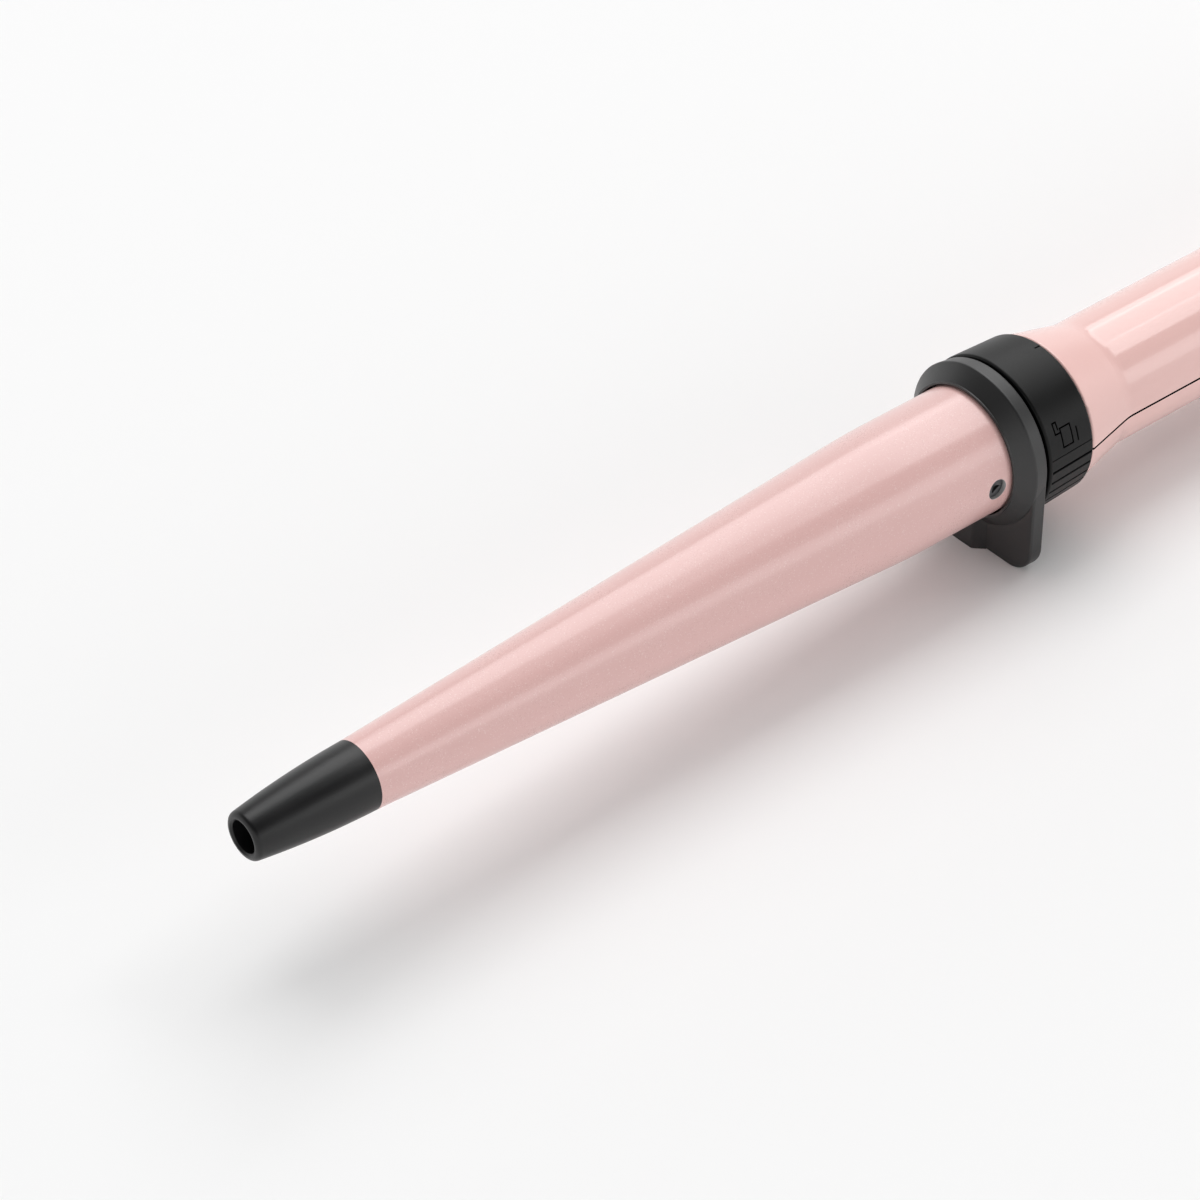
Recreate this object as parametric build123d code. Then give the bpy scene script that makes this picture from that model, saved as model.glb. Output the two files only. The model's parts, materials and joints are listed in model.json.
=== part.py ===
from build123d import *
import os
from functools import cache
from math import asin, atan2, degrees, hypot, sqrt

# A conical curling wand. The heated head plugs into a two-shell handle and a twist ring locks it.
# Sizes are millimetres. While the pieces are made the wand lies along X: x = 0 where the barrel
# leaves the stand collar, the cool tip at -X, the cord end at +X and Z up. Angles round the wand
# start at +Y and turn towards +Z. At the end every piece is tilted alike, so that the wand stands
# on its foot and on the handle's rear, with the origin under the middle of the foot.

# Clearances
SEAT_GAP = 0.1            # between pieces that are fixed to each other
RUN_GAP = 0.08            # between pieces that turn or slide in each other
FREE_GAP = 0.3            # between moving faces that stay apart

# Barrel
BARREL_LENGTH = 138.0     # from the collar to the cool tip
BARREL_TIP_R = 6.5
BARREL_BASE_R = 12.5
BARREL_PARALLEL = 21.0    # straight stretch in front of the collar
BARREL_BLEND_R = 150.0    # easing between the cone and the straight stretch
BARREL_WALL = 0.9
BARREL_SEAT = 3.0         # how far the barrel sits in the collar

# Cool tip and its fixing
TIP_LENGTH = 24.0
TIP_END_R = 4.6
TIP_CROWN = 0.35          # how far the side bulges from straight
TIP_EDGE_R = 0.9
TIP_BORE_R = 3.08
TIP_BORE_DEPTH = 16.0
TIP_BORE_CHAMFER = 0.35
TIP_SPIGOT = 10.0         # how far the tip reaches into the barrel
TIP_SCREW_R = 1.25
TIP_SCREW_HEAD_R = 2.6
TIP_SCREW_HEAD = 2.0
TIP_SCREW_SINK = 0.6      # the head lies this far below the bore
TIP_SCREW_BITE = 5.0      # length of the screw in its anchor
ANCHOR_LENGTH = 6.0

# Heater
HEATER_FRONT_GAP = 24.0   # between the anchor and the heater
HEATER_REAR = 26.0        # from the collar face to the heater's rear
STONE_COUNT = 3
STONE_WIDTH = 10.0
STONE_THICK = 2.4
STONE_GAP = 1.0
STRIP_WIDTH = 9.0
STRIP_THICK = 0.3
STRIP_TAIL = 5.0          # strip beyond the heater for its lead
FILM_THICK = 0.2
FILM_SIDE_GAP = 0.4
SPREADER_WALL = 1.0
LEAD_R = 0.7
LEAD_BEND_R = 4.0
FUSE_R = 1.6
FUSE_LENGTH = 6.5
FUSE_LEAD_R = 0.5
SENSOR_R = 1.2
SENSOR_LENGTH = 7.0
SENSOR_LEAD_R = 0.35
SENSOR_LEAD_PITCH = 1.0

# Stand collar and foot
COLLAR_DEPTH = 6.1
COLLAR_RIM_X = 3.0        # where the sloping front face meets the rim
COLLAR_FRONT_R = 16.2
COLLAR_REAR_R = 15.8
COLLAR_EDGE_R = 0.5
COLLAR_GAP = 0.35         # dark line round the barrel
COLLAR_LIP = 0.55
COLLAR_LIP_STEP = 0.3
COLLAR_BORE_R = 8.2
COLLAR_SPIGOT = 9.0
FOOT_DEPTH = 21.5         # from the wand's axis to the table
FOOT_HALF_WIDTH = 15.8
FOOT_CORNER_R = 5.5
FOOT_EDGE_R = 0.5
FOOT_FACING = 0.15        # ground off flat, so that the foot sits flush on the table
FOOT_RIB_PROUD = 1.8
FOOT_RIB_HALF = 2.6
FOOT_RIB_FLARE = 2.0
FOOT_RIB_EASE = 1.0
BARREL_SCREW_X = -3.2
BARREL_SCREW_HOLE_R = 2.05
BARREL_SCREW_HEAD_R = 1.85
BARREL_SCREW_HEAD = 0.55
BARREL_SCREW_SINK = 0.35  # depth of the head's seat in the collar's spigot
BARREL_SCREW_R = 1.0
BARREL_SCREW_LENGTH = 2.6
DRIVE_POINT_R = 1.25      # three-pointed driver recess
DRIVE_WAIST_R = 0.55
DRIVE_DEPTH = 0.45

# Plug on the head
PLUG_NOSE = 6.0           # length inside the collar in front of x = 0
PLUG_FLANGE = 1.6
PLUG_FLANGE_R = 12.3
PLUG_R = 7.8
PLUG_EDGE_R = 0.5
PLUG_SCREW_COUNT = 3
PLUG_SCREW_AT_R = 9.75
PLUG_SCREW_R = 1.0
PLUG_SCREW_HEAD_R = 1.7
PLUG_SCREW_HEAD = 1.2
PLUG_SCREW_LENGTH = 4.2
LUG_COUNT = 3
LUG_R = 11.4
LUG_THICK = 1.7
LUG_ARC = 30.0
LUG_FIRST = 90.0          # angle of the first lug
KEY_HALF_WIDTH = 1.0
KEY_HEIGHT = 1.2
PIN_R = 0.85
PIN_NOSE_R = 0.6
PIN_FRONT = 2.0           # pin in front of the plug's nose
PIN_REACH = 7.0           # pin behind the plug's end
POWER_PIN_Y = 4.4
SENSOR_PIN_Y = 2.2
SENSOR_PIN_Z = 4.6

# Lock ring
RING_GAP = 0.5            # dark line between the collar and the ring
RING_LENGTH = 11.3
RING_R = 16.0
RING_TAPER = 0.5          # the rear edge is this much smaller
RING_EDGE_R = 0.5
RING_WALL = 1.6
RING_MOUTH_GAP = 0.9
RING_TURN = 40.0          # degrees from open to locked
CLAW_THICK = 1.4
CLAW_GAP = 0.6
SLOT_PLAY = 6.0           # degrees that a slot is wider than its lug
STOP_PLAY = 1.5           # degrees between a lug and its stop
RIDGE_FIRST = 169.0       # angle where the ridged stretch starts, which runs to the far side
RIDGE_COUNT = 23
RIDGE_DEPTH = 0.6         # depth and width of the groove above each ridge
RIDGE_SINK = 0.05         # the ridges lie this far below the ring's surface
RIDGE_RIM = 0.6           # plain rim in front of the ridges

# Open padlock, a bar and an index line, cut into the ring
MARK_WIDTH = 0.32
MARK_DEPTH = 0.25
CASE_FRONT = 3.75         # from the ring's front to the padlock's case
CASE_LENGTH = 2.5
CASE_FIRST = 150.3        # angle of the case's upper side
CASE_ARC = 13.6
SHACKLE_RISE = 1.35       # how far the shackle stands in front of the case
SHACKLE_BAND = 0.85
SHACKLE_HINGE = 153.0     # angle of the leg in the case
SHACKLE_FREE = 145.2      # angle of the open leg
BAR_GAP = 1.3             # from the case to the bar behind it
BAR_ARC = 9.2
INDEX_ANGLE = 92.5
INDEX_LENGTH = 1.5

# Socket in the handle
SLEEVE_FLANGE = 1.4
SLEEVE_STEP = 1.1
SLEEVE_WALL = 2.4
SLEEVE_LOCK = 1.4
SLEEVE_TAIL = 2.4
RIB_THICK = 1.3
SOCKET_LENGTH = 7.5
SOCKET_RIB_DEPTH = 2.0
CONTACT_WALL = 0.6
CONTACT_SPARE = 2.0       # depth behind the pin's end
CONTACT_TAIL = 1.6
WIRE_R = 0.6
WIRE_BEND_R = 5.0
WIRE_LEAD = 2.0           # straight wire behind a contact
WIRE_LAND = 6.0           # length of wire lying on the board

# Handle shells
HANDLE_LENGTH = 158.0
NECK_FRONT_R = 15.1
NECK_LENGTH = 12.0
NECK_BLEND_R = 10.0
NECK_EDGE_R = 0.4
GRIP_R = 12.35
WIDEST_R = 14.4
WIDEST_SETBACK = 26.0     # from the widest place to the handle's end
FLARE_LENGTH = 42.0
END_ROUND = 10.0
END_R = 10.5
SHELL_WALL = 2.4
FRONT_WALL = 2.0
END_WALL = 3.8
SEAM_GAP = 0.45
SEAM_DEPTH = 0.9
SHELL_SCREW_FRONT = 32.0  # from the handle's front to the front screw
SHELL_SCREW_BACK = 26.0   # from the rear screw to the handle's end
SHELL_SCREW_R = 1.1
SHELL_SCREW_HEAD_R = 2.1
SHELL_SCREW_HEAD = 1.6
SHELL_SCREW_SEAT = 5.0    # from the split to the head's seat
SHELL_SCREW_BITE = 6.0
PILLAR_R = 3.2

# Circuit board and its components
BOARD_FRONT = 38.0        # from the handle's front
BOARD_BACK_GAP = 6.8      # between the board and the rear screw's pillar
BOARD_TOP = -1.4
BOARD_THICK = 1.6
BOARD_EDGE_GAP = 1.8
BOARD_SCREW_INSET = 6.0
BOARD_SCREW_R = 0.9
BOARD_SCREW_HEAD_R = 1.7
BOARD_SCREW_HEAD = 1.1
BOARD_SCREW_BITE = 4.0
STANDOFF_R = 2.3
CAPACITOR_AT = 22.0       # from the board's front, on its underside
CAPACITOR_SIZE = (13.0, 6.0, 5.5)
TRIAC_AT = 36.0
TRIAC_SIZE = (4.0, 8.0, 5.0)
CHIP_AT = 48.0
CHIP_SIZE = (5.0, 5.0, 1.2)

# Switch, its window and the lamp
SWITCH_AT = 66.0          # from the handle's front to the slide in its middle place
SWITCH_TRAVEL = 8.0
SWITCH_SIZE = (18.0, 7.0, 5.0)
NIB_SIZE = 1.8
NIB_DEPTH = 1.9           # nib inside the switch
NIB_HEIGHT = 3.6          # nib above the switch
KNOB_LENGTH = 6.0
KNOB_WIDTH = 4.4
KNOB_PROUD = 1.5
KNOB_RIDGES = 3
KNOB_RIDGE_DEPTH = 0.5
KNOB_CORNER_R = 0.6
GUIDE_WIDTH = 8.0
GUIDE_THICK = 1.0
GUIDE_DROP = 1.2          # from the shell's inside to the guide plate
FORK_WALL = 1.3
BEZEL_LENGTH = 38.0
BEZEL_WIDTH = 10.0
BEZEL_THICK = 1.0
BEZEL_OFFSET = 6.0        # from the slide's middle place to the window's middle
LAMP_AT = 20.0            # from the slide's middle place to the lamp
LENS_R = 1.3
LENS_FLANGE = 0.7
LENS_PROUD = 0.25
LED_SIZE = 3.0
LED_HEIGHT = 2.0
LED_DOME = 1.0
LED_DOME_R = 1.0

# Cord end
END_COLLAR_LENGTH = 5.0
END_COLLAR_EDGE_R = 1.2
END_COLLAR_SPIGOT_R = 8.6
END_COLLAR_FLANGE = 2.4
END_COLLAR_FLANGE_STEP = 0.9
GLAND_NECK_R = 6.4
GLAND_FLANGE = 2.0
GLAND_FLANGE_STEP = 1.8
GLAND_HEAD_R = 6.9
GLAND_EDGE_R = 0.3
GLAND_HEAD_LENGTH = 10.5
GLAND_TAIL_R = 5.2
GLAND_STUB_R = 4.8
GLAND_STUB_LENGTH = 11.5
CORD_BORE_R = 3.4
SLIP_RING_COUNT = 2
SLIP_RING_WALL = 0.8
SLIP_RING_WIDTH = 2.0
SLIP_RING_PITCH = 4.0
SLIP_RING_INSET = 2.0
BRUSH_THICK = 0.4
BRUSH_WIDTH = 3.0
BRUSH_LAND = 8.0

# Places along the wand
TIP_X = -(BARREL_LENGTH + TIP_LENGTH)
TIP_BORE_X = TIP_X + TIP_BORE_DEPTH
TIP_SEAT_X = TIP_BORE_X + TIP_SCREW_SINK + TIP_SCREW_HEAD
TIP_SPIGOT_X = TIP_SPIGOT - BARREL_LENGTH
ANCHOR_X = TIP_SPIGOT_X + SEAT_GAP
HEATER_X = ANCHOR_X + ANCHOR_LENGTH + HEATER_FRONT_GAP
FLANGE_END_X = COLLAR_DEPTH + PLUG_FLANGE
CLAW_X = FLANGE_END_X + PLUG_SCREW_HEAD + FREE_GAP
CLAW_END_X = CLAW_X + CLAW_THICK
LUG_X = CLAW_END_X + FREE_GAP
LUG_END_X = LUG_X + LUG_THICK
SLEEVE_X = LUG_END_X + FREE_GAP
SLEEVE_FLANGE_X = SLEEVE_X + SLEEVE_FLANGE
RING_X = COLLAR_DEPTH + RING_GAP
RING_END_X = RING_X + RING_LENGTH
HANDLE_X = RING_END_X + FREE_GAP
HANDLE_END_X = HANDLE_X + HANDLE_LENGTH
SLEEVE_LOCK_X = HANDLE_X + FRONT_WALL + SEAT_GAP
SLEEVE_LOCK_END_X = SLEEVE_LOCK_X + SLEEVE_LOCK
SLEEVE_END_X = SLEEVE_LOCK_END_X + SLEEVE_TAIL
SOCKET_X = SLEEVE_END_X + FREE_GAP
SOCKET_END_X = SOCKET_X + SOCKET_LENGTH
PIN_END_X = SLEEVE_END_X + PIN_REACH
CONTACT_END_X = PIN_END_X + CONTACT_SPARE + CONTACT_TAIL
NECK_END_X = HANDLE_X + NECK_LENGTH
WIDEST_X = HANDLE_END_X - WIDEST_SETBACK
FLARE_X = WIDEST_X - FLARE_LENGTH
ROUND_X = HANDLE_END_X - END_ROUND
SHELL_SCREW_XS = [HANDLE_X + SHELL_SCREW_FRONT, HANDLE_END_X - SHELL_SCREW_BACK]
BOARD_X = HANDLE_X + BOARD_FRONT
BOARD_END_X = SHELL_SCREW_XS[1] - PILLAR_R - BOARD_BACK_GAP
BOARD_SCREW_XS = [BOARD_X + BOARD_SCREW_INSET, BOARD_END_X - BOARD_SCREW_INSET]
SWITCH_X = HANDLE_X + SWITCH_AT
SLIDE_X = SWITCH_X + SWITCH_TRAVEL / 2
LAMP_X = SWITCH_X + LAMP_AT
END_FLANGE_X = HANDLE_END_X - END_WALL - SEAT_GAP - END_COLLAR_FLANGE
END_COLLAR_X = HANDLE_END_X + END_COLLAR_LENGTH
GLAND_FLANGE_END_X = END_FLANGE_X - FREE_GAP
GLAND_FLANGE_X = GLAND_FLANGE_END_X - GLAND_FLANGE
GLAND_STUB_X = GLAND_FLANGE_X - GLAND_STUB_LENGTH
GLAND_HEAD_X = END_COLLAR_X + FREE_GAP
GLAND_END_X = GLAND_HEAD_X + GLAND_HEAD_LENGTH
FOOT_X = (COLLAR_RIM_X + COLLAR_DEPTH) / 2

# Radii and heights that follow from the values above
BARREL_BORE_R = BARREL_BASE_R - BARREL_WALL
COLLAR_SPIGOT_R = BARREL_BORE_R - SEAT_GAP
BARREL_SCREW_SEAT = COLLAR_SPIGOT_R - BARREL_SCREW_SINK
LIP_IN_R = BARREL_BASE_R + COLLAR_GAP
LIP_OUT_R = LIP_IN_R + COLLAR_LIP
STACK_HALF = STONE_THICK / 2 + STRIP_THICK + FILM_THICK
STRIP_FACE = STONE_THICK / 2 + STRIP_THICK
SENSOR_Z = STACK_HALF + SPREADER_WALL + SENSOR_R + SEAT_GAP / 2
CLAW_R = PLUG_R + CLAW_GAP
LUG_ROOM_R = LUG_R + FREE_GAP
SLEEVE_FLANGE_R = RING_R - RING_WALL - FREE_GAP
JOURNAL_R = SLEEVE_FLANGE_R - SLEEVE_STEP
SLEEVE_BORE_R = PLUG_R + RUN_GAP
SLEEVE_OUT_R = SLEEVE_BORE_R + SLEEVE_WALL
CONTACT_BORE_R = PIN_R + RUN_GAP
CONTACT_R = CONTACT_BORE_R + CONTACT_WALL
GRIP_BORE_R = GRIP_R - SHELL_WALL
BOARD_BOTTOM = BOARD_TOP - BOARD_THICK
SWITCH_TOP = BOARD_TOP + SWITCH_SIZE[2]
GUIDE_TOP = GRIP_BORE_R - GUIDE_DROP
SLIP_RING_R = GLAND_STUB_R + SLIP_RING_WALL
OUTSIDE = 2 * (FOOT_DEPTH + WIDEST_R)    # larger than any section of the wand
PIN_PLACES = [
    (-POWER_PIN_Y, 0),
    (POWER_PIN_Y, 0),
    (-SENSOR_PIN_Y, SENSOR_PIN_Z),
    (SENSOR_PIN_Y, SENSOR_PIN_Z),
]
LUG_ANGLES = [LUG_FIRST + k * 360 / LUG_COUNT for k in range(LUG_COUNT)]

# The handle's swelling is two arcs of one radius; the table touches the second one
SWELL_RUN = FLARE_LENGTH / 2
SWELL_RISE = (WIDEST_R - GRIP_R) / 2
SWELL_R = (SWELL_RUN**2 + SWELL_RISE**2) / (2 * SWELL_RISE)
REACH_X = WIDEST_X - FOOT_X
REACH_Z = SWELL_R - WIDEST_R + FOOT_DEPTH
TILT = degrees(atan2(REACH_Z, REACH_X) - asin(SWELL_R / hypot(REACH_X, REACH_Z)))
STAND = Rot(0, TILT, 0) * Pos(-FOOT_X, 0, FOOT_DEPTH)


# Basic shapes
def lathe(*corners):
    """Turn a closed outline of (x, radius) corners, each with an optional rounding, about X."""
    points = [corner[:2] for corner in corners]
    rounding = [corner[2] if len(corner) > 2 else 0 for corner in corners]
    return revolve(make_face(FilletPolyline(*points, radius=rounding, close=True)), Axis.X)


def rod(x0, x1, radius, y=0.0, z=0.0):
    along_x = Rot(0, 90, 0) * Cylinder(radius, x1 - x0, align=(Align.CENTER, Align.CENTER, Align.MIN))
    return Pos(x0, y, z) * along_x


def post(x, y, z0, z1, radius):
    return Pos(x, y, z0) * Cylinder(radius, z1 - z0, align=(Align.CENTER, Align.CENTER, Align.MIN))


def block(x0, x1, y0, y1, z0, z1):
    return Pos(x0, y0, z0) * Box(x1 - x0, y1 - y0, z1 - z0, align=Align.MIN)


def plate(x, y, length, width, z0, z1):
    return block(x - length / 2, x + length / 2, y - width / 2, y + width / 2, z0, z1)


def sector(x0, x1, r0, r1, middle, width):
    outline = make_face(Polyline((x0, r0), (x1, r0), (x1, r1), (x0, r1), close=True))
    return Rot(middle - width / 2, 0, 0) * revolve(outline, Axis.X, width)


def wire(radius, bend, *points):
    path = FilletPolyline(*points, radius=bend)
    return sweep(Plane(path @ 0, z_dir=path % 0) * Circle(radius), path=path)


def group(solids):
    return Compound(children=list(solids))


def around(shape, angles):
    """Copies of a shape turned about the wand's axis."""
    return [Rot(angle, 0, 0) * shape for angle in angles]


# Head: barrel and cool tip
def bore_radius(x):
    """Inside radius of the barrel's cone."""
    share = (x + BARREL_LENGTH) / (BARREL_LENGTH - BARREL_PARALLEL)
    return BARREL_TIP_R - BARREL_WALL + share * (BARREL_BASE_R - BARREL_TIP_R)


def barrel_fill(x0, x1, gap=SEAT_GAP):
    """Solid that fills the barrel's cone between two places, with a gap round it."""
    return lathe((x0, 0), (x0, bore_radius(x0) - gap), (x1, bore_radius(x1) - gap), (x1, 0))


def side_hole(x, radius):
    return Pos(x, 0, 0) * Rot(90, 0, 0) * Cylinder(radius, OUTSIDE)


def make_barrel():
    tube = lathe(
        (-BARREL_LENGTH, BARREL_TIP_R),
        (-BARREL_PARALLEL, BARREL_BASE_R, BARREL_BLEND_R),
        (BARREL_SEAT, BARREL_BASE_R),
        (BARREL_SEAT, BARREL_BORE_R),
        (-BARREL_PARALLEL, BARREL_BORE_R, BARREL_BLEND_R),
        (-BARREL_LENGTH, BARREL_TIP_R - BARREL_WALL),
    )
    return tube - side_hole(BARREL_SCREW_X, BARREL_SCREW_HOLE_R)


def make_cool_tip():
    seat = Vector(-BARREL_LENGTH, BARREL_TIP_R)
    edge = Vector(TIP_X + TIP_EDGE_R, TIP_END_R)
    side = SagittaArc(seat, edge, -TIP_CROWN)
    corner = TangentArc(side @ 1, (TIP_X, TIP_END_R - TIP_EDGE_R), tangent=side % 1)
    inside = Polyline(
        corner @ 1,
        (TIP_X, TIP_BORE_R + TIP_BORE_CHAMFER),
        (TIP_X + TIP_BORE_CHAMFER, TIP_BORE_R),
        (TIP_BORE_X, TIP_BORE_R),
        (TIP_BORE_X, TIP_SCREW_HEAD_R + SEAT_GAP),
        (TIP_SEAT_X, TIP_SCREW_HEAD_R + SEAT_GAP),
        (TIP_SEAT_X, TIP_SCREW_R + SEAT_GAP),
        (TIP_SPIGOT_X, TIP_SCREW_R + SEAT_GAP),
        (TIP_SPIGOT_X, BARREL_TIP_R - BARREL_WALL - SEAT_GAP),
        (-BARREL_LENGTH, BARREL_TIP_R - BARREL_WALL - SEAT_GAP),
        seat,
    )
    return revolve(make_face([side, corner, inside]), Axis.X)


def make_tip_screw():
    head = rod(TIP_SEAT_X - TIP_SCREW_HEAD, TIP_SEAT_X, TIP_SCREW_HEAD_R)
    shank = rod(TIP_SEAT_X, ANCHOR_X + TIP_SCREW_BITE, TIP_SCREW_R)
    depth = TIP_SCREW_HEAD / 2
    bar = plate(TIP_SEAT_X - TIP_SCREW_HEAD, 0, 2 * depth, TIP_SCREW_HEAD, -depth / 2, depth / 2)
    return head + shank - around(bar, (0, 90))


def make_tip_anchor():
    anchor = barrel_fill(ANCHOR_X, ANCHOR_X + ANCHOR_LENGTH)
    return anchor - rod(TIP_SPIGOT_X, HEATER_X, TIP_SCREW_R + SEAT_GAP)


# Head: heater
def half_round(inset):
    """The room above the heater's stack inside the barrel, drawn in by the given amount."""
    above = block(HEATER_X, -HEATER_REAR, -OUTSIDE, OUTSIDE, STACK_HALF + inset, OUTSIDE)
    return barrel_fill(HEATER_X, -HEATER_REAR, SEAT_GAP + inset) & above


def make_heat_spreader(turn):
    """Hollow half-round that carries the heat of one side of the stack to the barrel."""
    return Rot(turn, 0, 0) * (half_round(0) - half_round(SPREADER_WALL))


def make_ptc_stones():
    pitch = (-HEATER_REAR - HEATER_X + STONE_GAP) / STONE_COUNT
    length = pitch - STONE_GAP
    middles = [HEATER_X + length / 2 + k * pitch for k in range(STONE_COUNT)]
    return group(plate(x, 0, length, STONE_WIDTH, -STONE_THICK / 2, STONE_THICK / 2) for x in middles)


def make_electrode_strips():
    half = STRIP_WIDTH / 2
    upper = block(HEATER_X, STRIP_TAIL - HEATER_REAR, -half, half, STONE_THICK / 2, STRIP_FACE)
    return group([upper, Rot(180, 0, 0) * upper])


def make_insulating_film():
    half = STONE_WIDTH / 2 + FILM_SIDE_GAP
    outer = half + FILM_THICK
    sleeve = block(HEATER_X, -HEATER_REAR, -outer, outer, -STACK_HALF, STACK_HALF)
    return sleeve - block(HEATER_X, -HEATER_REAR, -half, half, -STRIP_FACE, STRIP_FACE)


def lead_route(side, radius):
    """Route from a power pin to the tail of the electrode strip on the same side."""
    strip_y = side * (STRIP_WIDTH / 2 - 2 * LEAD_R)
    strip_z = side * (STRIP_FACE + radius + SEAT_GAP / 2)
    start = -PLUG_NOSE - PIN_FRONT
    end = STRIP_TAIL - HEATER_REAR
    return (
        (start, side * POWER_PIN_Y, 0),
        (start - FUSE_LENGTH - FUSE_LEAD_R, side * POWER_PIN_Y, 0),
        (end + LEAD_R, strip_y, strip_z),
        (end - STRIP_TAIL, strip_y, strip_z),
    )


def make_heater_lead():
    return wire(LEAD_R, LEAD_BEND_R, *lead_route(1, LEAD_R))


def make_thermal_fuse():
    can_x = -PLUG_NOSE - PIN_FRONT - FUSE_LEAD_R
    can = rod(can_x - FUSE_LENGTH, can_x, FUSE_R, -POWER_PIN_Y)
    return can + wire(FUSE_LEAD_R, LEAD_BEND_R, *lead_route(-1, FUSE_LEAD_R))


def make_temperature_sensor():
    bead_end = -HEATER_REAR
    bead = rod(bead_end - SENSOR_LENGTH, bead_end, SENSOR_R, z=SENSOR_Z)
    pin_x = -PLUG_NOSE - PIN_FRONT
    for side in (-1, 1):
        bead += wire(
            SENSOR_LEAD_R,
            LEAD_BEND_R,
            (bead_end - SENSOR_R, side * SENSOR_LEAD_PITCH / 2, SENSOR_Z),
            (bead_end + LEAD_BEND_R, side * SENSOR_LEAD_PITCH / 2, SENSOR_Z),
            (pin_x - LEAD_BEND_R, side * SENSOR_PIN_Y, SENSOR_PIN_Z),
            (pin_x, side * SENSOR_PIN_Y, SENSOR_PIN_Z),
        )
    return bead


# Head: stand collar, screws and plug
def below_table():
    return STAND.inverse() * block(-OUTSIDE, OUTSIDE, -OUTSIDE, OUTSIDE, -OUTSIDE, 0)


def make_foot():
    bottom = -FOOT_DEPTH - FOOT_FACING
    half = FOOT_HALF_WIDTH
    outline = FilletPolyline(
        (-half, 0), (-half, bottom), (half, bottom), (half, 0),
        radius=[0, FOOT_CORNER_R, FOOT_CORNER_R, 0], close=True,
    )
    slab = extrude(Plane.YZ.offset(COLLAR_RIM_X) * make_face(outline), COLLAR_DEPTH - COLLAR_RIM_X)
    face_edges = slab.edges().filter_by(Axis.X, reverse=True)
    slab = fillet(face_edges.filter_by(lambda edge: edge.center().Z < 0), FOOT_EDGE_R)
    rib_plan = FilletPolyline(
        (COLLAR_RIM_X + FOOT_EDGE_R, -FOOT_RIB_HALF - FOOT_RIB_FLARE),
        (COLLAR_RIM_X, -FOOT_RIB_HALF - FOOT_RIB_FLARE),
        (COLLAR_RIM_X - FOOT_RIB_PROUD, -FOOT_RIB_HALF),
        (COLLAR_RIM_X - FOOT_RIB_PROUD, FOOT_RIB_HALF),
        (COLLAR_RIM_X, FOOT_RIB_HALF + FOOT_RIB_FLARE),
        (COLLAR_RIM_X + FOOT_EDGE_R, FOOT_RIB_HALF + FOOT_RIB_FLARE),
        radius=[0, 0, FOOT_RIB_EASE, FOOT_RIB_EASE, 0, 0], close=True,
    )
    rib = extrude(Plane.XY.offset(bottom) * make_face(rib_plan), -bottom - LIP_OUT_R)
    return slab + rib - rod(-OUTSIDE, OUTSIDE, LIP_OUT_R)


def make_stand_collar():
    ring = lathe(
        (-COLLAR_SPIGOT, COLLAR_BORE_R),
        (-COLLAR_SPIGOT, COLLAR_SPIGOT_R),
        (BARREL_SEAT, COLLAR_SPIGOT_R),
        (BARREL_SEAT, LIP_IN_R),
        (0, LIP_IN_R, COLLAR_LIP_STEP / 2),
        (0, LIP_OUT_R, COLLAR_LIP_STEP / 2),
        (COLLAR_LIP_STEP, LIP_OUT_R),
        (COLLAR_RIM_X, COLLAR_FRONT_R, COLLAR_EDGE_R),
        (COLLAR_DEPTH, COLLAR_REAR_R, COLLAR_EDGE_R),
        (COLLAR_DEPTH, COLLAR_BORE_R),
    )
    collar = ring + make_foot() - below_table()
    collar -= side_hole(BARREL_SCREW_X, BARREL_SCREW_R + SEAT_GAP / 2)
    collar -= barrel_screw_pair(post(0, 0, BARREL_SCREW_SEAT, BARREL_BORE_R, BARREL_SCREW_HEAD_R + SEAT_GAP))
    pilot = rod(FLANGE_END_X - PLUG_SCREW_LENGTH - SEAT_GAP, COLLAR_DEPTH, PLUG_SCREW_R + SEAT_GAP / 2)
    return collar - plug_screw_pattern(pilot)


def barrel_screw_pair(shape):
    """Copies of an upright shape on the near and the far side of the barrel."""
    return [Pos(BARREL_SCREW_X, 0, 0) * turned for turned in around(shape, (90, -90))]


def make_barrel_screws():
    seat = BARREL_SCREW_SEAT + SEAT_GAP / 2
    top = seat + BARREL_SCREW_HEAD
    screw = post(0, 0, seat, top, BARREL_SCREW_HEAD_R)
    screw += post(0, 0, seat - BARREL_SCREW_LENGTH, seat, BARREL_SCREW_R)
    corners = []
    for k in range(3):
        corners.append(Vector(DRIVE_POINT_R, 0).rotate(Axis.Z, 120 * k))
        corners.append(Vector(DRIVE_WAIST_R, 0).rotate(Axis.Z, 120 * k + 60))
    recess = Pos(0, 0, top) * make_face(Polyline(*corners, close=True))
    return group(barrel_screw_pair(screw - extrude(recess, -DRIVE_DEPTH)))


def plug_screw_pattern(shape):
    first = LUG_FIRST + 180 / LUG_COUNT
    angles = [first + k * 360 / PLUG_SCREW_COUNT for k in range(PLUG_SCREW_COUNT)]
    return around(Pos(0, PLUG_SCREW_AT_R, 0) * shape, angles)


def make_plug_screws():
    head = rod(FLANGE_END_X, FLANGE_END_X + PLUG_SCREW_HEAD, PLUG_SCREW_HEAD_R)
    slot = plate(FLANGE_END_X + PLUG_SCREW_HEAD, 0, PLUG_SCREW_HEAD, PLUG_SCREW_HEAD / 4, -OUTSIDE, OUTSIDE)
    shank = rod(FLANGE_END_X - PLUG_SCREW_LENGTH, FLANGE_END_X, PLUG_SCREW_R)
    return group(plug_screw_pattern(head - slot + shank))


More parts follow.
